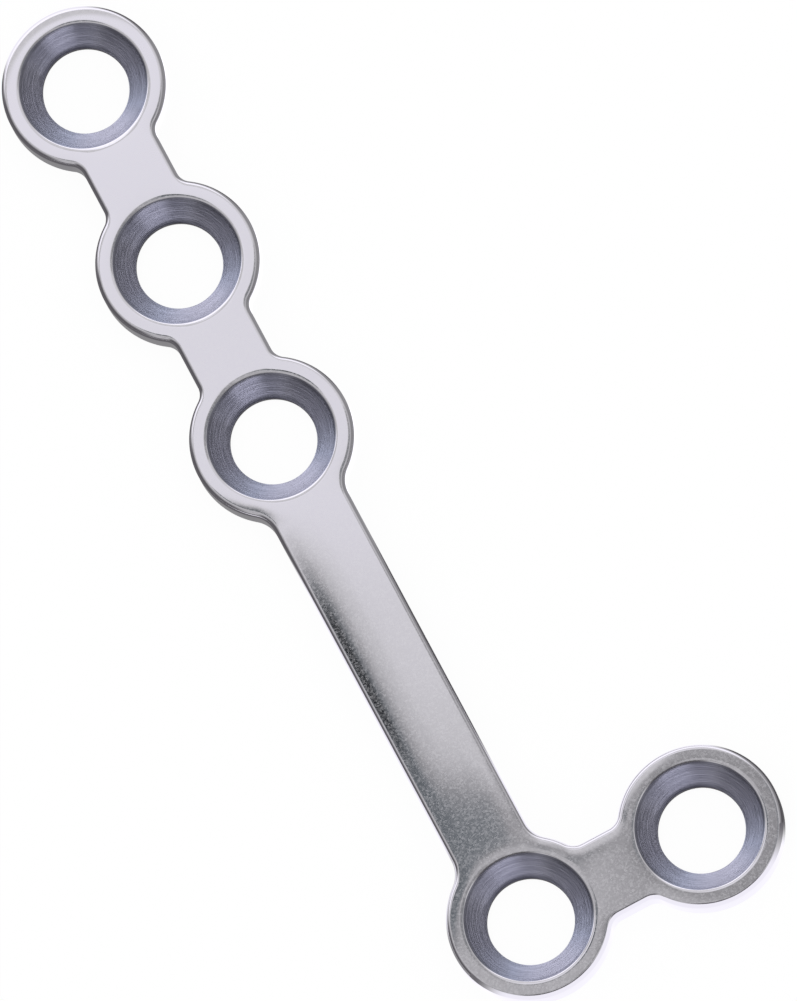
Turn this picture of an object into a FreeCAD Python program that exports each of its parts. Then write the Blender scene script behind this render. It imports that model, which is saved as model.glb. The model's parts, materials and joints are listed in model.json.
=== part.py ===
"""L-shaped bone plate, made in one piece from flat implant steel.

Three screw rings stand close together at the far end of a long straight bar.
A fourth ring sits on the corner and a fifth on the tip of the short foot.
Every ring is drilled through and countersunk from above for a screw head.

Frame: +Z points up, out of the screw seats, and the underside lies at z = 0.
The origin is on the axis of the corner hole. The shaft runs along +Y and the
foot along +X.
"""
import FreeCAD, Part
import math
import os

Vector = FreeCAD.Vector

# Driving dimensions, in millimetres
THICKNESS = 1.0             # flat stock between underside and top face

SCREW_HOLE = 2.65           # diameter drilled through each ring
SEAT_MOUTH = 3.9            # diameter of the countersink at the top face
SEAT_LAND = 0.25            # straight wall left between the cone and the underside
RING_WALL = 0.55            # metal outside the countersink, all round

NECK_LENGTH = 1.2           # clear distance between the shaft's close-set rings
FOOT_NECK_LENGTH = 0.8      # clear distance between the corner ring and the foot's
BAR_LENGTH = 11.8           # clear distance between the corner ring and the shaft's

NECK_WIDTH = 2.5            # necks between the close-set rings
FOOT_NECK_WIDTH = 2.5       # neck of the foot
BAR_WIDTH = 2.5             # long bar

NECK_BLEND = 0.5            # radius of the hollow where a neck runs into a ring
BAR_BLEND = 0.9             # radius of the hollow where the bar runs into a ring

TOP_ROUND = 0.25            # polished rounding along the upper outline
LIP_ROUND = 0.18            # rounding of each countersink's mouth
UNDER_BREAK = 0.1           # broken edges of the underside

SHAFT_RINGS = 3             # rings at the far end of the bar

# Worked out from the driving dimensions
RING_RADIUS = SEAT_MOUTH / 2 + RING_WALL
NECK_PITCH = 2 * RING_RADIUS + NECK_LENGTH
FOOT_PITCH = 2 * RING_RADIUS + FOOT_NECK_LENGTH
BAR_PITCH = 2 * RING_RADIUS + BAR_LENGTH
SEAT_DEPTH = THICKNESS - SEAT_LAND

CUTTER_MARGIN = 0.5         # how far a cutting tool reaches past a face
SAME = 1e-4                 # lengths closer than this are the same
RIGHT = 1                   # sides of a link, for someone who looks along it
LEFT = -1


def ring_chain():
    """Centres of the rings, from the far end of the shaft round to the foot."""
    shaft = [Vector(0, BAR_PITCH + step * NECK_PITCH, 0) for step in range(SHAFT_RINGS)]
    shaft.reverse()
    return shaft + [Vector(0, 0, 0), Vector(FOOT_PITCH, 0, 0)]


def link_sizes():
    """Width and blend of the link that follows each ring of the chain."""
    necks = [(NECK_WIDTH, NECK_BLEND)] * (SHAFT_RINGS - 1)
    return necks + [(BAR_WIDTH, BAR_BLEND), (FOOT_NECK_WIDTH, NECK_BLEND)]


def fitting_blend(pitch, width, blend):
    """The blend, limited so that the blends at both ends of a link have room."""
    half = width / 2
    largest = ((pitch / 2) ** 2 - RING_RADIUS ** 2 + half ** 2) / (2 * (RING_RADIUS - half))
    return min(blend, 0.98 * largest)


def link_blend(rings, here, other, side):
    """Hollow arc between ring here and the edge of its link with ring other.

    The arc touches both, so its centre is one blend away from the ring's
    circle and from the link's edge. It is given by its point on the ring, its
    middle and its point on the link. The side is as seen from ring here.
    """
    width, blend = link_sizes()[min(here, other)]
    ring = rings[here]
    along = rings[other] - ring
    blend = fitting_blend(along.Length, width, blend)
    along.normalize()
    across = Vector(along.y, -along.x, 0) * side
    reach = width / 2 + blend
    run = math.sqrt((RING_RADIUS + blend) ** 2 - reach ** 2)
    centre = ring + along * run + across * reach
    on_ring = ring + (centre - ring).normalize() * RING_RADIUS
    on_link = ring + along * run + across * (width / 2)
    middle = centre + (on_ring + on_link - centre * 2).normalize() * blend
    return on_ring, middle, on_link


def ring_arc(ring, start, end):
    """Round outside of a ring, anticlockwise from start to end."""
    first = math.atan2(start.y - ring.y, start.x - ring.x)
    last = math.atan2(end.y - ring.y, end.x - ring.x)
    if last <= first:
        last += 2 * math.pi
    half_way = (first + last) / 2
    middle = ring + Vector(math.cos(half_way), math.sin(half_way), 0) * RING_RADIUS
    return Part.Arc(start, middle, end).toShape()


def outline():
    """Closed outline of the rings and links.

    It is walked anticlockwise, down the chain of rings and back again, with
    the metal on the left. Each ring adds the blend that leads onto it, its
    own arc, the blend that leads off it and the straight edge that follows.
    """
    rings = ring_chain()
    last = len(rings) - 1
    walk = list(range(last)) + list(range(last, 0, -1))
    edges = []
    for step, here in enumerate(walk):
        before = walk[step - 1]
        after = walk[(step + 1) % len(walk)]
        start, middle, end = link_blend(rings, here, before, LEFT)
        leaving, bend, straight = link_blend(rings, here, after, RIGHT)
        far_end = link_blend(rings, after, here, LEFT)[2]
        edges.append(Part.Arc(end, middle, start).toShape())
        edges.append(ring_arc(rings[here], start, leaving))
        edges.append(Part.Arc(leaving, bend, straight).toShape())
        edges.append(Part.LineSegment(straight, far_end).toShape())
    return Part.Wire(edges)


def screw_seat(ring):
    """Cutter for one screw: a through hole that opens into a cone at the top."""
    hole = SCREW_HOLE / 2
    mouth = SEAT_MOUTH / 2
    slope = (mouth - hole) / SEAT_DEPTH
    above = THICKNESS + CUTTER_MARGIN
    profile = Part.makePolygon([
        Vector(0, 0, -CUTTER_MARGIN),
        Vector(hole, 0, -CUTTER_MARGIN),
        Vector(hole, 0, SEAT_LAND),
        Vector(mouth + slope * CUTTER_MARGIN, 0, above),
        Vector(0, 0, above),
        Vector(0, 0, -CUTTER_MARGIN),
    ])
    cutter = Part.Face(profile).revolve(Vector(0, 0, 0), Vector(0, 0, 1), 360)
    cutter.translate(ring)
    return cutter


def edges_at(shape, height):
    """Edges that lie flat at a height."""
    flat = [edge for edge in shape.Edges if edge.BoundBox.ZLength < SAME]
    return [edge for edge in flat if abs(edge.BoundBox.ZMin - height) < SAME]


def is_mouth(edge):
    """Whether an edge is the round mouth of a countersink."""
    return isinstance(edge.Curve, Part.Circle) and abs(edge.Curve.Radius - SEAT_MOUTH / 2) < SAME


def bone_plate():
    """The whole plate: blank, five screw seats, then rounded and broken edges."""
    plate = Part.Face(outline()).extrude(Vector(0, 0, THICKNESS))
    for ring in ring_chain():
        plate = plate.cut(screw_seat(ring))
    rim = [edge for edge in edges_at(plate, THICKNESS) if not is_mouth(edge)]
    plate = plate.makeFillet(min(TOP_ROUND, 0.45 * THICKNESS, 0.7 * RING_WALL), rim)
    mouths = [edge for edge in edges_at(plate, THICKNESS) if is_mouth(edge)]
    plate = plate.makeFillet(min(LIP_ROUND, 0.4 * RING_WALL, 0.4 * SEAT_DEPTH), mouths)
    return plate.makeChamfer(min(UNDER_BREAK, 0.5 * SEAT_LAND), edges_at(plate, 0))


os.makedirs("parts", exist_ok=True)
bone_plate().exportStep("parts/bone_plate.step")
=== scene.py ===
import bmesh
import bpy
import json
import math
import numpy as np

from mathutils import Matrix, Vector


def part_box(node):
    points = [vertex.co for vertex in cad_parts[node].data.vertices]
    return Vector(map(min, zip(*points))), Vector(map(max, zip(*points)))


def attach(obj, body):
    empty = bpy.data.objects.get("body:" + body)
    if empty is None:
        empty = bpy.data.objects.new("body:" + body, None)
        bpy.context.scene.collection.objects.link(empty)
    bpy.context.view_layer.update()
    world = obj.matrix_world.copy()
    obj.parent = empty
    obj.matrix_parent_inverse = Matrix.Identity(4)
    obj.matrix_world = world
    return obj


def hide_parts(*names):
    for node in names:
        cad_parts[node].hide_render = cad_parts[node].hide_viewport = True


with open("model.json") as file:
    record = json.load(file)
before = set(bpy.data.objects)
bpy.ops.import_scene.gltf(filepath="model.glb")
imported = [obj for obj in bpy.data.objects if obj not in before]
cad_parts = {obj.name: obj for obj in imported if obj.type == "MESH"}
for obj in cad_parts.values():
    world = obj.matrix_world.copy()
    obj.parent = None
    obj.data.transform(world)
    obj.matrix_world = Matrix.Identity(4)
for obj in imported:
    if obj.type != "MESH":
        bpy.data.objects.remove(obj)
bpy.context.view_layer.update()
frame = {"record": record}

# Everything below is worked out in millimetres and goes into the meshes in metres
MM = 0.001

# The rings in their order along the plate, and what the frame says of their size
CHAIN = ("shaft_screw_far", "shaft_screw_middle", "shaft_screw_near", "corner_screw", "foot_screw")
MOUNTS = {mount["name"]: mount for mount in frame["record"]["mounts"]}
CENTRES = np.array([MOUNTS[name]["pos_m"][:2] for name in CHAIN]) / MM
CORNER = CHAIN.index("corner_screw")
BOX_LOW, BOX_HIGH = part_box("bone_plate")
RING = -BOX_LOW.x / MM
TOP = BOX_HIGH.z / MM
HOLE = MOUNTS["corner_screw"]["dims"]["r_mm"]
LAND = MOUNTS["corner_screw"]["dims"]["length_mm"]

# Sizes of the plate that the frame doesn't name
MOUTH = 1.95                    # radius of a screw seat where its cone would meet the upper face
LIP_ROUND = 0.25                # radius of the seat's rounded mouth
LINK_HALF_WIDTH = 1.25          # of the bar and the necks
NECK_BLEND = 0.5                # radius of the hollow where a neck runs into a ring
BAR_BLEND = 0.9                 # radius of the hollow where the bar runs into a ring
TOP_ROUND = 0.17                # radius of the upper edge
UNDER_BREAK = 0.1               # width and height of the broken lower edge

# Polishing draws the flat face down very slightly towards every edge: the
# steepest slope at an edge, and the distance over which it dies away
EDGE_DRAW = math.radians(5.0)
EDGE_DRAW_REACH = 0.30
LIP_DRAW = math.radians(3.2)
LIP_DRAW_REACH = 0.18
NO_SEAT_NEAR = 9.0              # a distance from every seat at which no drawing down is left

# Fineness of the mesh: the spacing of stations along the outline, and the steps
# across each of its bands
STEP = 0.09
ROUND_STEPS = 18
LIP_STEPS = 10
LIP_POLISHED_STEPS = 5          # of the lip's steps, those that are polished with the face
CONE_STEPS = 10
LAND_STEPS = 3
RADIAL_STEPS = 10
ACROSS_STEPS = 26
BLEND_STEPS = 12
SHARP = math.radians(35)        # bends above this angle are shaded as edges
MERGE = 2e-7                    # vertices nearer than this, in metres, are one
PART = 2000                     # points measured at a time against the whole outline

# The mesh's two materials
POLISHED = 0
TURNED = 1


# Outline of the plate

def turned(vectors, angle):
    """Two-dimensional vectors turned anticlockwise by an angle."""
    cos, sin = math.cos(angle), math.sin(angle)
    return vectors @ np.array([[cos, sin], [-sin, cos]])


def directions(angles):
    """Unit vectors at the given angles."""
    return np.stack([np.cos(angles), np.sin(angles)], axis=-1)


def link_blend(here, there):
    """Radius of the hollow between a ring and its link."""
    return BAR_BLEND if {here, there} == {CORNER, CORNER - 1} else NECK_BLEND


def link_run(here, there):
    """Distance from a ring's centre to where the straight edges of its link begin.

    The hollow's centre lies one hollow's radius off the ring's circle and off
    the link's edge, so run squared = (ring + blend) squared - (half width + blend) squared.
    """
    blend = link_blend(here, there)
    return math.sqrt((RING + blend) ** 2 - (LINK_HALF_WIDTH + blend) ** 2)


def heading(here, there):
    """Angle at which one ring sees the next."""
    along = CENTRES[there] - CENTRES[here]
    return math.atan2(along[1], along[0])


def hollow(here, there, side):
    """Stations on the hollow arc from the link's edge to the ring, with outward normals.

    In the link's own frame the arc's centre is (run, side x (half width + blend)).
    The arc turns about it from straight back at the link to the ring's centre.
    """
    blend = link_blend(here, there)
    run = link_run(here, there)
    reach = LINK_HALF_WIDTH + blend
    onto_ring = math.atan2(reach, run)
    turn = np.linspace(-math.pi / 2, onto_ring - math.pi, BLEND_STEPS + 1)
    spokes = directions(turn) * [1, side]
    points = np.array([run, side * reach]) + blend * spokes
    angle = heading(here, there)
    return CENTRES[here] + turned(points, angle), turned(-spokes, angle), onto_ring


def free_stretch(here, left_of, right_of):
    """Edge of a ring from the left of one link anticlockwise to the right of the next.

    Hollow, ring arc and hollow again, as stations and outward normals.
    """
    first, first_normals, onto = hollow(here, left_of, 1)
    last, last_normals, off = hollow(here, right_of, -1)
    start = heading(here, left_of) + onto
    end = heading(here, right_of) - off
    while end <= start:
        end += 2 * math.pi
    count = int(round((end - start) * RING / STEP))
    spokes = directions(np.linspace(start, end, count + 1))
    points = np.concatenate([first[:-1], CENTRES[here] + RING * spokes, last[::-1][1:]])
    normals = np.concatenate([first_normals[:-1], spokes, last_normals[::-1][1:]])
    return points, normals


def cut_line(here, there, inset):
    """Stations straight across a link where it meets the ring, from its right to its left."""
    half = LINK_HALF_WIDTH - inset
    across = np.linspace(-half, half, ACROSS_STEPS + 1)
    points = np.stack([np.full_like(across, link_run(here, there)), across], axis=-1)
    return CENTRES[here] + turned(points, heading(here, there))


def neighbours(here):
    """The rings linked to a ring."""
    return [other for other in (here - 1, here + 1) if 0 <= other < len(CENTRES)]


def ring_edges(here):
    """Every free stretch of a ring's edge."""
    links = sorted(neighbours(here), key=lambda other: heading(here, other))
    return [free_stretch(here, link, links[(k + 1) % len(links)]) for k, link in enumerate(links)]


def link_edges(here, there):
    """The two straight edges of a link, with outward normals."""
    start = link_run(here, there)
    end = np.linalg.norm(CENTRES[there] - CENTRES[here]) - link_run(there, here)
    along = np.linspace(start, end, int(round((end - start) / STEP)) + 1)
    angle = heading(here, there)
    edges = []
    for side in (-1, 1):
        points = np.stack([along, np.full_like(along, side * LINK_HALF_WIDTH)], axis=-1)
        normals = np.tile([0.0, side], (len(along), 1))
        edges.append((CENTRES[here] + turned(points, angle), turned(normals, angle)))
    return edges


LINKS = [(here, here + 1) for here in range(len(CENTRES) - 1)]
RING_EDGES = [ring_edges(here) for here in range(len(CENTRES))]
LINK_EDGES = [link_edges(here, there) for here, there in LINKS]
ALL_EDGES = [edge for edges in RING_EDGES + LINK_EDGES for edge in edges]
STATIONS = np.concatenate([points for points, normals in ALL_EDGES])
STATION_NORMALS = np.concatenate([normals for points, normals in ALL_EDGES])


# Height of the upper face

def in_parts(points):
    """Indices of the points in a few parts, which keep the tables of distances small."""
    return np.array_split(np.arange(len(points)), len(points) // PART + 1)


def edge_distance(points):
    """How far points lie inside the outline, along the nearest station's normal."""
    distance = np.empty(len(points))
    for part in in_parts(points):
        gaps = ((points[part, None] - STATIONS[None]) ** 2).sum(axis=2)
        nearest = gaps.argmin(axis=1)
        inward = (STATIONS[nearest] - points[part]) * STATION_NORMALS[nearest]
        distance[part] = inward.sum(axis=1)
    return distance


def seat_distance(points):
    """How far points lie outside the mouth of the nearest screw seat."""
    gaps = np.linalg.norm(points[:, None] - CENTRES[None], axis=2)
    return gaps.min(axis=1) - MOUTH


def draw_down(edge, seat):
    """How far polishing has drawn the face down, at its distance from edge and seat.

    Each part is tan(slope) x reach x exp(-distance / reach), so it is steepest at
    the edge itself.
    """
    from_edge = math.tan(EDGE_DRAW) * EDGE_DRAW_REACH * np.exp(-edge / EDGE_DRAW_REACH)
    from_seat = math.tan(LIP_DRAW) * LIP_DRAW_REACH * np.exp(-np.maximum(seat, 0) / LIP_DRAW_REACH)
    return from_edge + from_seat


def upper_face(points):
    """Points of the upper face at their height: flat, less the drawing down."""
    height = TOP - draw_down(edge_distance(points), seat_distance(points))
    return np.column_stack([points, height])


# Surfaces

def grid_quads(rows, columns):
    """Corners of a grid's faces, as indices of its vertices counted row by row."""
    index = np.arange(rows * columns).reshape(rows, columns)
    corners = [index[:-1, :-1], index[:-1, 1:], index[1:, 1:], index[1:, :-1]]
    return np.stack(corners, axis=-1).reshape(-1, 4)


class Surface:
    """Grids of vertices collected for one mesh, with a material and UV each."""

    def __init__(self):
        self.vertices = []
        self.faces = []
        self.uvs = []
        self.materials = []
        self.count = 0

    def add(self, grid, uv, material, flip=False):
        """Add a grid of points (rows, columns, 3) with UV (rows, columns, 2).

        A face's normal is along (next column) x (next row), or against it if flipped.
        """
        rows, columns = grid.shape[:2]
        quads = grid_quads(rows, columns)
        if flip:
            quads = quads[:, ::-1]
        self.vertices.append(grid.reshape(-1, 3) * MM)
        self.faces.append(quads + self.count)
        self.uvs.append(uv.reshape(-1, 2)[quads].reshape(-1, 2))
        self.materials.append(np.full(len(quads), material))
        self.count += rows * columns

    def piece(self, name, materials):
        """One object of all the grids, merged where their borders coincide."""
        mesh = bpy.data.meshes.new(name)
        mesh.from_pydata(np.concatenate(self.vertices), [], np.concatenate(self.faces))
        layer = mesh.uv_layers.new(name="turning")
        layer.data.foreach_set("uv", np.concatenate(self.uvs).astype(np.float32).ravel())
        for material in materials:
            mesh.materials.append(material)
        mesh.polygons.foreach_set("material_index", np.concatenate(self.materials))
        merged = bmesh.new()
        merged.from_mesh(mesh)
        bmesh.ops.remove_doubles(merged, verts=merged.verts, dist=MERGE)
        merged.to_mesh(mesh)
        merged.free()
        mesh.polygons.foreach_set("use_smooth", np.ones(len(mesh.polygons), dtype=bool))
        mesh.set_sharp_from_angle(angle=SHARP)
        piece = bpy.data.objects.new(name, mesh)
        bpy.context.scene.collection.objects.link(piece)
        return piece


def plan_uv(grid):
    """UV that lies on the plan, in millimetres."""
    return grid[..., :2].copy()


def rounded_edge(points, normals):
    """Edge of the plate, carried along stations with outward normals.

    From the upper face outwards: a quarter circle less the drawing down, the
    wall, and the broken lower edge.
    """
    turn = np.linspace(0, math.pi / 2, ROUND_STEPS + 1)
    inset = TOP_ROUND * (1 - np.sin(turn))
    height = TOP - TOP_ROUND * (1 - np.cos(turn)) - draw_down(inset, np.full_like(inset, NO_SEAT_NEAR))
    inset = np.concatenate([inset, [0, 0, UNDER_BREAK]])
    height = np.concatenate([height, [(height[-1] + UNDER_BREAK) / 2, UNDER_BREAK, 0]])
    plan = points[None] - inset[:, None, None] * normals[None]
    levels = np.broadcast_to(height[:, None, None], plan.shape[:2] + (1,))
    return np.concatenate([plan, levels], axis=2)


def between(inner, outer, steps):
    """Rows of stations led straight from an inner line to an outer one."""
    share = np.linspace(0, 1, steps + 1)[:, None, None]
    return inner[None] * (1 - share) + outer[None] * share


def around(here, line, radius):
    """The points of a circle round a ring's centre that face a line's stations."""
    spokes = line - CENTRES[here]
    spokes = spokes / np.linalg.norm(spokes, axis=1)[:, None]
    return CENTRES[here] + radius * spokes


def lip():
    """Radii and heights of the mouth's rounding, from the upper face to the cone.

    An arc that touches the face and the cone, which slopes at atan(depth / spread).
    Its centre lies its radius x tan(half that slope) outside the mouth.
    """
    slope = math.atan2(TOP - LAND, MOUTH - HOLE)
    centre_radius = MOUTH + LIP_ROUND * math.tan(slope / 2)
    centre_height = TOP - LIP_ROUND
    turn = np.linspace(0, slope, LIP_STEPS + 1)
    return centre_radius - LIP_ROUND * np.sin(turn), centre_height + LIP_ROUND * np.cos(turn)


LIP_RADII, LIP_HEIGHTS = lip()


def seat_profile():
    """Radii and heights of a screw seat from the mouth down: lip, cone, land, lower break."""
    to_outline = np.full_like(LIP_RADII, RING - LIP_RADII[0])
    lip_heights = LIP_HEIGHTS - draw_down(to_outline, LIP_RADII - MOUTH)
    share = np.linspace(0, 1, CONE_STEPS + 1)[1:]
    cone_radii = LIP_RADII[-1] + share * (HOLE - LIP_RADII[-1])
    cone_heights = lip_heights[-1] + share * (LAND - lip_heights[-1])
    land_heights = np.linspace(LAND, UNDER_BREAK, LAND_STEPS + 1)[1:]
    land_radii = np.full_like(land_heights, HOLE)
    radii = np.concatenate([LIP_RADII, cone_radii, land_radii, [HOLE + UNDER_BREAK]])
    heights = np.concatenate([lip_heights, cone_heights, land_heights, [0.0]])
    return radii, heights


def seat_depths():
    """Distance along a seat's profile from its upper end, in millimetres."""
    steps = np.hypot(*np.diff(np.stack(seat_profile()), axis=1))
    return np.concatenate([[0.0], np.cumsum(steps)])


def seat_grid(here, line, face_heights):
    """The part of a screw seat that faces a line's stations: its profile, turned about the axis.

    Its first row takes the upper face's own heights.
    """
    radii, heights = seat_profile()
    rows = np.stack([around(here, line, radius) for radius in radii])
    levels = np.broadcast_to(heights[:, None], rows.shape[:2]).copy()
    levels[0] = face_heights
    return np.concatenate([rows, levels[..., None]], axis=2)


def seat_uv(here, line):
    """UV of that part of a seat: turns about the axis, and depth in millimetres."""
    spokes = line - CENTRES[here]
    turns = np.unwrap(np.arctan2(spokes[:, 1], spokes[:, 0])) / (2 * math.pi)
    return np.stack(np.broadcast_arrays(turns[None], seat_depths()[:, None]), axis=-1)


def top_grid(rows):
    """Rows of plan points laid on the upper face."""
    return upper_face(rows.reshape(-1, 2)).reshape(rows.shape[:2] + (3,))


def under_grid(rows):
    """Rows of plan points laid on the underside."""
    return np.concatenate([rows, np.zeros(rows.shape[:2] + (1,))], axis=2)


def add_ring_part(surface, here, upper, lower):
    """The part of a ring that faces a line of its border: upper face, screw seat and underside.

    The border's line is given at the height of the upper face and of the underside.
    """
    face = top_grid(between(around(here, upper, LIP_RADII[0]), upper, RADIAL_STEPS))
    surface.add(face, plan_uv(face), POLISHED, flip=True)
    seat = seat_grid(here, upper, face[0, :, 2])
    uv = seat_uv(here, upper)
    first, last = LIP_POLISHED_STEPS, LIP_STEPS + CONE_STEPS
    surface.add(seat[:first + 1], uv[:first + 1], POLISHED)
    surface.add(seat[first:last + 1], uv[first:last + 1], TURNED)
    surface.add(seat[last:], uv[last:], POLISHED)
    under = under_grid(between(around(here, upper, HOLE + UNDER_BREAK), lower, 1))
    surface.add(under, plan_uv(under), POLISHED)


def plate_surface(materials):
    """The whole plate: its edges all round, then the faces of each ring and each link.

    Two faults are left. Along the rings the upper face ends 0.001 mm below the
    rounded edge, so they aren't merged. The edge on the left of each link, seen
    from the ring before it, has its faces turned inwards.
    """
    surface = Surface()
    for points, normals in ALL_EDGES:
        grid = rounded_edge(points, normals)
        surface.add(grid, plan_uv(grid), POLISHED, flip=True)

    for here in range(len(CENTRES)):
        for points, normals in RING_EDGES[here]:
            add_ring_part(surface, here, points - TOP_ROUND * normals, points - UNDER_BREAK * normals)
        for there in neighbours(here):
            upper = cut_line(here, there, TOP_ROUND)
            lower = cut_line(here, there, UNDER_BREAK)
            add_ring_part(surface, here, upper, lower)

    for (right, right_normals), (left, left_normals) in LINK_EDGES:
        for inset, lay, flip in ((TOP_ROUND, top_grid, False), (UNDER_BREAK, under_grid, True)):
            grid = lay(between(right - inset * right_normals, left - inset * left_normals, ACROSS_STEPS))
            surface.add(grid, plan_uv(grid), POLISHED, flip=flip)
    return surface.piece("polished_plate", materials)


# Materials

class Nodes:
    """Short way to build a node tree: each call adds a node and links or sets its inputs."""

    def __init__(self, tree):
        self.tree = tree
        self.tree.nodes.clear()

    def add(self, kind, inputs=(), **settings):
        """Add a node, with values or sockets for its inputs, and its other settings."""
        node = self.tree.nodes.new("ShaderNode" + kind)
        for name, value in settings.items():
            setattr(node, name, value)
        for name, value in dict(inputs).items():
            if isinstance(value, bpy.types.NodeSocket):
                self.tree.links.new(value, node.inputs[name])
            else:
                node.inputs[name].default_value = value
        return node

    def work_out(self, operation, *values, **settings):
        """Result of one sum on values or sockets."""
        node = self.add("Math", dict(enumerate(values)), operation=operation, **settings)
        return node.outputs["Value"]

    def ramp(self, share, stops):
        """Colours led smoothly through stops, each a position and its red, green and blue."""
        node = self.add("ValToRGB", {"Fac": share})
        elements = node.color_ramp.elements
        elements[0].position = stops[0][0]
        elements[1].position = stops[-1][0]
        for stop in stops[1:-1]:
            elements.new(stop[0])
        for element, stop in zip(elements, stops):
            element.color = (*stop[1], 1)
        return node.outputs["Color"]

    def output(self, shader, kind="OutputMaterial"):
        """Make a shader the tree's own."""
        out = self.add(kind)
        self.tree.links.new(shader, out.inputs["Surface"])


def new_material(name):
    """A new material and its emptied node tree."""
    material = bpy.data.materials.new(name)
    material.use_nodes = True
    return material, Nodes(material.node_tree)


def polished_steel():
    """Electropolished steel: nearly a mirror, with a fine grain of duller specks.

    The specks scatter a little light, so they show only where the mirror is dark.
    They lie on the flat face and fade out down its rounded edges. Very shallow
    waves keep reflections from being quite straight.
    """
    no_specks, full_specks = TOP - 0.032, TOP - 0.018
    material, nodes = new_material("polished_steel")
    place = nodes.add("TexCoord").outputs["Object"]
    waves = nodes.add("TexNoise", {"Vector": place, "Scale": 1500.0, "Detail": 1.0})
    swell = nodes.add("Bump", {"Height": waves.outputs["Fac"], "Distance": 6e-7, "Strength": 1.0})
    grains = nodes.add("TexVoronoi", {"Vector": place, "Scale": 21000.0})
    draw = nodes.add("SeparateColor", {"Color": grains.outputs["Color"]})
    dull = nodes.work_out("POWER", draw.outputs["Red"], 2.0)
    height = nodes.add("SeparateXYZ", {"Vector": place})
    flat = nodes.add("MapRange", {"Value": height.outputs["Z"], "From Min": no_specks * MM,
                                  "From Max": full_specks * MM})
    specks = nodes.work_out("MULTIPLY", dull, flat.outputs["Result"])
    shader = nodes.add("BsdfPrincipled", {
        "Base Color": (0.72, 0.71, 0.75, 1),
        "Metallic": nodes.work_out("MULTIPLY_ADD", specks, -0.27, 1.0),
        "Roughness": 0.07,
        "Normal": swell.outputs["Normal"],
    })
    nodes.output(shader.outputs["BSDF"])
    return material


def turned_steel():
    """Screw seats as turned: fine concentric tool marks that draw reflections out across them.

    The marks vary the steel's tone, and painted shade varies with the place on the
    seat: palest at the back and front, darker at the sides, and darkest at the foot
    of the back wall.
    """
    material, nodes = new_material("turned_steel")
    uv = nodes.add("UVMap", uv_map="turning").outputs["UV"]
    stretched = nodes.add("Mapping", {"Vector": uv, "Scale": (7.0, 20.0, 1.0)})
    marks = nodes.add("TexNoise", {"Vector": stretched.outputs["Vector"], "Scale": 1.0, "Detail": 2.0,
                                   "Roughness": 0.6}).outputs["Fac"]
    bump = nodes.add("Bump", {"Height": marks, "Distance": 1.2e-5, "Strength": 1.0})
    shades = nodes.ramp(marks, [(0.3, (0.27, 0.275, 0.345)), (0.7, (0.44, 0.445, 0.54))])
    place = nodes.add("SeparateXYZ", {"Vector": uv})
    back = nodes.work_out("SINE", nodes.work_out("MULTIPLY", place.outputs["X"], 2 * math.pi))
    from_front = nodes.add("MapRange", {"Value": back, "From Min": -1.0, "From Max": 1.0})
    # painted shade: the seat's sides are made darker than its front and back
    sides = nodes.ramp(from_front.outputs["Result"], [
        (0.0, (0.91, 0.91, 0.92)),
        (0.146, (0.90, 0.96, 1.0)),
        (0.5, (0.67, 0.67, 0.67)),
        (0.854, (0.77, 0.76, 0.73)),
        (1.0, (1.0, 1.0, 1.0)),
    ])
    # painted shadow low on the back wall, at the foot of the seat
    depth = nodes.add("MapRange", {"Value": place.outputs["Y"], "From Min": 0.85, "From Max": 1.02},
                      interpolation_type="SMOOTHSTEP")
    foot = nodes.work_out("MULTIPLY", depth.outputs["Result"], back, use_clamp=True)
    painted_seat_shade = nodes.add("Mix", {0: foot, 6: sides, 7: (0.25, 0.25, 0.26, 1)}, data_type="RGBA")
    colour = nodes.add("Mix", {0: 1.0, 6: shades, 7: painted_seat_shade.outputs[2]},
                       data_type="RGBA", blend_type="MULTIPLY")
    tangent = nodes.add("Tangent", direction_type="UV_MAP", uv_map="turning")
    shader = nodes.add("BsdfPrincipled", {
        "Base Color": colour.outputs[2],
        "Metallic": 1.0,
        "Roughness": 0.28,
        "Anisotropic": 0.85,
        "Anisotropic Rotation": 0.25,
        "Normal": bump.outputs["Normal"],
        "Tangent": tangent.outputs["Tangent"],
    })
    nodes.output(shader.outputs["BSDF"])
    return material


plate = plate_surface([polished_steel(), turned_steel()])
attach(plate, "root")
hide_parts("bone_plate")


# Studio: what the steel mirrors

def smooth(value, low, high):
    """0 below low, 1 above high, and an S-curve between."""
    share = np.clip((value - low) / (high - low), 0, 1)
    return share * share * (3 - 2 * share)


def glow(name):
    """Plain light whose colour is the mesh's own radiance attribute."""
    material, nodes = new_material(name)
    colour = nodes.add("Attribute", attribute_name="radiance").outputs["Color"]
    light = nodes.add("Emission", {"Color": colour, "Strength": 1.0})
    nodes.output(light.outputs["Emission"])
    material.cycles.emission_sampling = "NONE"
    return material


def reflector(name, grid, radiance):
    """A card or dome that only reflections see, from a grid in metres and its radiance."""
    rows, columns = grid.shape[:2]
    mesh = bpy.data.meshes.new(name)
    mesh.from_pydata(grid.reshape(-1, 3), [], grid_quads(rows, columns))
    tints = np.concatenate([radiance, np.ones(radiance.shape[:2] + (1,))], axis=2)
    layer = mesh.attributes.new("radiance", "FLOAT_COLOR", "POINT")
    layer.data.foreach_set("color", tints.astype(np.float32).ravel())
    mesh.materials.append(glow(name))
    card = bpy.data.objects.new(name, mesh)
    bpy.context.scene.collection.objects.link(card)
    card.visible_camera = False
    card.visible_diffuse = False
    card.visible_shadow = False
    card.visible_transmission = False
    card.visible_volume_scatter = False


# Tints of the light: two for dark places, one between and one for bright places
COOL_TINT = np.array([0.93, 1.03, 1.10])
WARM_TINT = np.array([1.01, 0.97, 1.02])
MIDDLE_TINT = np.array([1.0, 0.99, 1.0])
BRIGHT_TINT = np.array([1.0, 0.985, 1.04])


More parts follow.
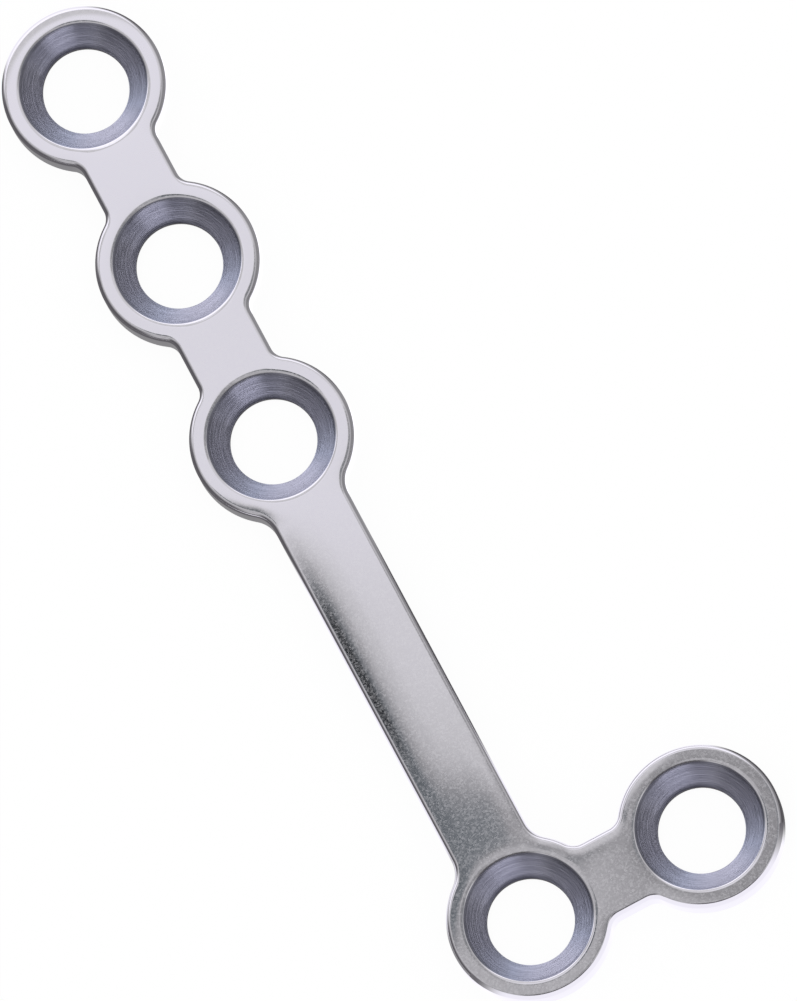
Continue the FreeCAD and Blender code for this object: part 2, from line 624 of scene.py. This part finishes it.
def tinted(level, dark=WARM_TINT):
    """Grey levels as colours: a given tint where dark, faintly lavender where bright."""
    to_middle = smooth(level, 0.18, 0.34)[..., None]
    to_bright = smooth(level, 0.72, 1.02)[..., None]
    tint = dark * (1 - to_middle) + MIDDLE_TINT * (to_middle - to_bright) + BRIGHT_TINT * to_bright
    return level[..., None] * tint


def sector(azimuth, middle, half_width, edge):
    """1 within a sector of azimuths in degrees, 0 outside it, soft over its edge."""
    away = np.abs((azimuth - middle + 180) % 360 - 180)
    return 1 - smooth(away, half_width - edge / 2, half_width + edge / 2)


def mixed(level, target, share):
    """Levels led towards a target by a share of the way."""
    return level * (1 - share) + target * share


def sky_level(azimuth, elevation):
    """Brightness of the tent by direction, in degrees from +X and from level.

    Bright behind, dark on the left and grey on the right, each fading out
    upwards. In front it is dark but for one narrow window low down.
    """
    level = 0.70 + 0.1 * smooth(elevation, 55, 80)
    corners = sector(azimuth, 270, 78, 30) * (1 - smooth(elevation, 8, 24))
    level = mixed(level, 0.15, corners)
    right = sector(azimuth, 5, 42, 30) * (1 - smooth(elevation, 14, 56))
    level = mixed(level, 0.32, right)
    left = sector(azimuth, 175, 35, 24) * (1 - smooth(elevation, 20, 70))
    level = mixed(level, 0.13, left)
    front = sector(azimuth, 266, 40, 24) * smooth(elevation, 14, 26) * (1 - smooth(elevation, 60, 76))
    level = mixed(level, 0.12, front)
    window = sector(azimuth, 268, 19, 14) * (1 - smooth(elevation, 14, 26))
    level = mixed(level, 1.6, window)
    back = sector(azimuth, 88, 38 + 10 * smooth(elevation, 15, 30), 22) * (1 - smooth(elevation, 48, 66))
    return mixed(level, 1.25 + 0.2 * smooth(elevation, 12, 30), back)


def studio_dome():
    """Half a sphere of sky, one metre out."""
    azimuth, elevation = np.meshgrid(np.linspace(0, 360, 181), np.linspace(0, 90, 91))
    turn, rise = np.radians(azimuth), np.radians(elevation)
    grid = np.stack([np.cos(rise) * np.cos(turn), np.cos(rise) * np.sin(turn), np.sin(rise)], axis=-1)
    reflector("studio_dome", grid, tinted(sky_level(azimuth, elevation)))


CARD_HEIGHT = 60.0              # of the soft box, above the underside
CAMERA_PLACE =np.array([-1.889, -129.025, 586.11])


def overhead_level(x, y):
    """Brightness overhead, by the plate's point whose level face shows it to the camera.

    The foot shows grey and the shaft bright, with a dark trough between them at the
    start of the bar and a dark strip left of the bar. Past the plate it is grey on
    the left and in front, grey to bright up the right, and brightest behind.
    """
    shaft = 0.72 + 0.10 * smooth(y, 5, 9) + 0.12 * smooth(y, 9, 14.5) + 0.06 * smooth(y, 20, 30)
    shaft = mixed(shaft, 0.72, smooth(y, 31.6, 34))
    shaft = mixed(shaft, 1.35, smooth(y, 48, 60))
    foot = 0.53 - 0.18 * smooth(x, 1.0, 6.0)
    trough = 0.21 + 0.18 * smooth(x, 1.0, 4.5)
    start = -0.2 + 1.4 * smooth(x, 0.5, 2.5)
    level = mixed(foot, trough, smooth(y - start, 0.0, 2.1))
    beyond = smooth(x, 5.0, 7.5)
    rise = 4.5 - 0.2 * np.clip(x, -4.0, 4.4) + 4.0 * beyond
    level = mixed(level, shaft, smooth(y - rise, -1.1, 1.1 + 2.5 * beyond))
    strip = (smooth(x, -27, -19) - smooth(x, -4.2, 0.6)) * smooth(y, 0.8, 4.0) * (1 - smooth(y, 10.8, 14.4))
    dark = 0.17 - 0.14 * smooth(y, 5, 7.5) + 0.14 * smooth(-x, 8, 13)
    level = mixed(level, dark, strip)
    level = mixed(level, 0.60, 1 - smooth(x, -30, -14))
    side = 0.28 + 0.14 * smooth(y, 2, 6) + 0.38 * smooth(y, 12, 17)
    level = mixed(level, side, smooth(x, 8.5, 20))
    front = 1 - smooth(y, -30, -20)
    return mixed(level, 0.3, front)


def overhead_card():
    """Soft box above the plate, laid out by the plate's points that mirror it to the camera.

    A ray from the camera that a level face at P mirrors meets the card at
    P + (P - camera) x height / camera height.
    """
    x, y = np.meshgrid(np.linspace(-45, 45, 181), np.linspace(-30, 75, 241))
    lift = CARD_HEIGHT / CAMERA_PLACE[2]
    card_x = x + (x - CAMERA_PLACE[0]) * lift
    card_y = y + (y - CAMERA_PLACE[1]) * lift
    grid = np.stack([card_x, card_y, np.full_like(x, CARD_HEIGHT)], axis=-1) * MM
    reflector("overhead_card", grid, tinted(overhead_level(x, y), COOL_TINT))


# Painted light and shade of the floor, on cards that only reflections see: the floor as the steel's walls
# see it. Depths are below the underside.
BLUR = 0.25                     # softens the borders between what parts of the outline face
NEAR_MARGIN = 2.5               # how far the fine card reaches past the plate
NEAR_STEP = 0.12                # spacing of its vertices
WIDE_START = 3.0                # inner and outer radius of the coarse card
WIDE_END = 1000.0
NEAR_DEPTH = 0.01
WIDE_DEPTH = 0.02
FLOOR_DEPTH = 0.03              # of the white floor below them both


def facing_outline(points):
    """What part of the outline floor points lie off: distance, azimuth it faces, and place.

    The last two are means over the stations, where one that lies further off than
    the nearest counts exp(-difference / blur) as much.
    """
    away = np.empty(len(points))
    facing = np.empty(len(points))
    place = np.empty((len(points), 2))
    for part in in_parts(points):
        gaps = np.linalg.norm(points[part, None] - STATIONS[None], axis=2)
        nearest = gaps.argmin(axis=1)
        out = points[part] - STATIONS[nearest]
        away[part] = (out * STATION_NORMALS[nearest]).sum(axis=1)
        share = np.exp((gaps.min(axis=1, keepdims=True) - gaps) / BLUR)
        share = share / share.sum(axis=1, keepdims=True)
        normals = share @ STATION_NORMALS
        facing[part] = np.degrees(np.arctan2(normals[:, 1], normals[:, 0]))
        place[part] = share @ STATIONS
    return away, facing, place


def painted_hole_light_and_shade(points):
    """Painted light and shade of the floor in the screw holes, and 1 for points within a hole.

    Painted bright in the middle from front to back, with painted shade on both sides and along the rim.
    """
    spokes = points[:, None] - CENTRES[None]
    reaches = np.linalg.norm(spokes, axis=2)
    ring = reaches.argmin(axis=1)
    reach = reaches.min(axis=1)
    aside = np.abs(spokes[np.arange(len(points)), ring, 0])
    dark = np.maximum(smooth(aside, 0.3, 0.9), smooth(reach, HOLE - 0.4, HOLE - 0.15))
    return mixed(1.9, 0.12, dark), 1 - smooth(reach, HOLE + 0.1, HOLE + 0.3)


def painted_floor_light_and_shade(points):
    """Painted light and shade of the floor round the plate, by the part of the outline it lies off.

    Painted a little brighter than the white floor, with painted shade on both sides
    of the shaft's rings, left of the corner ring, and right of the bar and of the
    foot's ring. Very close to the first three edges it is painted brighter again.
    """
    away, facing, place = facing_outline(points)
    x, y = place.T
    shaft = smooth(y, 12.0, 14.5)
    near = 1 - smooth(away, 0.15, 0.45)
    far = smooth(away, 3.0, 20.0)
    level = np.full(len(points), 1.16)
    left = sector(facing, 199, 66, 16)
    level = mixed(level, mixed(0.16, 0.30, near), left * shaft)
    right = sector(facing, 5, 54, 18)
    right_level = mixed(0.34, 0.50, far) - 0.2 * sector(facing, 40, 22, 16)
    level = mixed(level, mixed(right_level, 1.40, near), right * shaft)
    corner = sector(facing, 178, 22, 20) * (1 - smooth(y, 2.0, 3.5))
    level = mixed(level, mixed(0.35, 1.0, near), corner)
    bar_or_tip = np.maximum(smooth(x, 6.0, 7.0), smooth(y, 4.5, 6.5))
    level = mixed(level, 0.12, sector(facing, 11, 41, 20) * (1 - shaft) * bar_or_tip)
    hole, inside = painted_hole_light_and_shade(points)
    return mixed(level, hole, inside)


def floor_cards():
    """What the floor gives the walls, with its light and shade painted on: a fine card round the plate and
    a wide coarse one.
    """
    low = CENTRES.min(axis=0) - RING - NEAR_MARGIN
    high = CENTRES.max(axis=0) + RING + NEAR_MARGIN
    columns, rows = ((high - low) / NEAR_STEP).astype(int)
    near = np.stack(np.meshgrid(np.linspace(low[0], high[0], columns),
                                np.linspace(low[1], high[1], rows)), axis=-1)
    spokes = directions(np.radians(np.linspace(0, 360, 121)))
    wide = (low + high) / 2 + np.geomspace(WIDE_START, WIDE_END, 70)[:, None, None] * spokes
    for name, plan, depth in (("floor_near", near, NEAR_DEPTH), ("floor_wide", wide, WIDE_DEPTH)):
        level = painted_floor_light_and_shade(plan.reshape(-1, 2)).reshape(plan.shape[:2])
        grid = np.concatenate([plan, np.full(plan.shape[:2] + (1,), -depth)], axis=2) * MM
        reflector(name, grid, tinted(level))


def front_card():
    """Low bright card bent round the front of the foot, which lights its rings' lower rims.

    It follows the two rings at a fixed distance and crosses straight over between
    them. It is bright in the middle and dims towards both ends.
    """
    reach, height = 0.3, 1.4
    dim, bright = 0.2, 1.2
    onto, off = np.linspace(195, 325, 53), np.linspace(215, 335, 49)
    line = np.concatenate([
        CENTRES[CORNER] + (RING + reach) * directions(np.radians(onto)),
        CENTRES[CORNER + 1] + (RING + reach) * directions(np.radians(off))])
    level = np.concatenate([mixed(dim, bright, smooth(onto, 200, 226)),
                            mixed(bright, dim, smooth(off, 302, 335))])
    grid = np.zeros((2, len(line), 3))
    grid[:, :, :2] = line
    grid[1, :, 2] = height
    reflector("front_card", grid * MM, tinted(np.stack([level, level])))


studio_dome()
overhead_card()
floor_cards()
front_card()


def floor():
    """Plain white floor that keeps a faint shadow of the plate.

    To the camera and in reflections most of it is light of its own, which takes
    no shadow, and the rest is chalk, which does.
    """
    half_size, own_light = 1.7, 0.95
    mesh = bpy.data.meshes.new("floor")
    corners = [(-half_size, -half_size), (half_size, -half_size),
               (half_size, half_size), (-half_size, half_size)]
    mesh.from_pydata([(x, y, -FLOOR_DEPTH * MM) for x, y in corners], [], [(0, 1, 2, 3)])
    material, nodes = new_material("white_floor")
    path = nodes.add("LightPath").outputs
    direct_or_mirrored = nodes.work_out("MAXIMUM", path["Is Camera Ray"], path["Is Glossy Ray"])
    seen = nodes.work_out("MAXIMUM", direct_or_mirrored, path["Is Transmission Ray"])
    share = nodes.work_out("MULTIPLY", seen, own_light)
    white = nodes.add("Emission", {"Color": (1, 1, 1, 1), "Strength": 1.0})
    chalk = nodes.add("BsdfDiffuse", {"Color": (1, 1, 1, 1)})
    mix = nodes.add("MixShader", {0: share, 1: chalk.outputs["BSDF"], 2: white.outputs["Emission"]})
    nodes.output(mix.outputs["Shader"])
    mesh.materials.append(material)
    ground = bpy.data.objects.new("floor", mesh)
    bpy.context.scene.collection.objects.link(ground)


def white_world():
    """Plain white surroundings at strength 1."""
    world = bpy.data.worlds.new("white_tent")
    world.use_nodes = True
    nodes = Nodes(world.node_tree)
    light = nodes.add("Background", {"Color": (1, 1, 1, 1), "Strength": 1.0})
    nodes.output(light.outputs["Background"], "OutputWorld")
    bpy.context.scene.world = world


floor()
white_world()


# Camera, fitted to the photograph

VIEW_TARGET = np.array([2.4725, 13.4206, 0.0])
VIEW_UP = np.array([0.47143, 0.85615, 0.21158])
SENSOR = 36.0                   # millimetres that the photograph's height takes up
FOCAL_PIXELS = 20041.2          # focal length in the photograph's pixels
PHOTO_HEIGHT = 1001             # in pixels


def photo_camera():
    """Camera high above the plate, at the photograph's angle and framing."""
    lens = bpy.data.cameras.new("photo_camera")
    lens.sensor_width = SENSOR
    lens.lens = FOCAL_PIXELS / PHOTO_HEIGHT * SENSOR
    lens.clip_start = 0.01
    lens.clip_end = 5.0
    back = CAMERA_PLACE - VIEW_TARGET
    back = back / np.linalg.norm(back)
    right = np.cross(VIEW_UP, back)
    right = right / np.linalg.norm(right)
    up = np.cross(back, right)
    camera = bpy.data.objects.new("photo_camera", lens)
    camera.matrix_world = Matrix.Translation(Vector(CAMERA_PLACE * MM)) @ Matrix(
        np.column_stack([right, up, back]).tolist()).to_4x4()
    bpy.context.scene.collection.objects.link(camera)
    bpy.context.scene.camera = camera


photo_camera()
bpy.context.scene.view_settings.view_transform = "Standard"
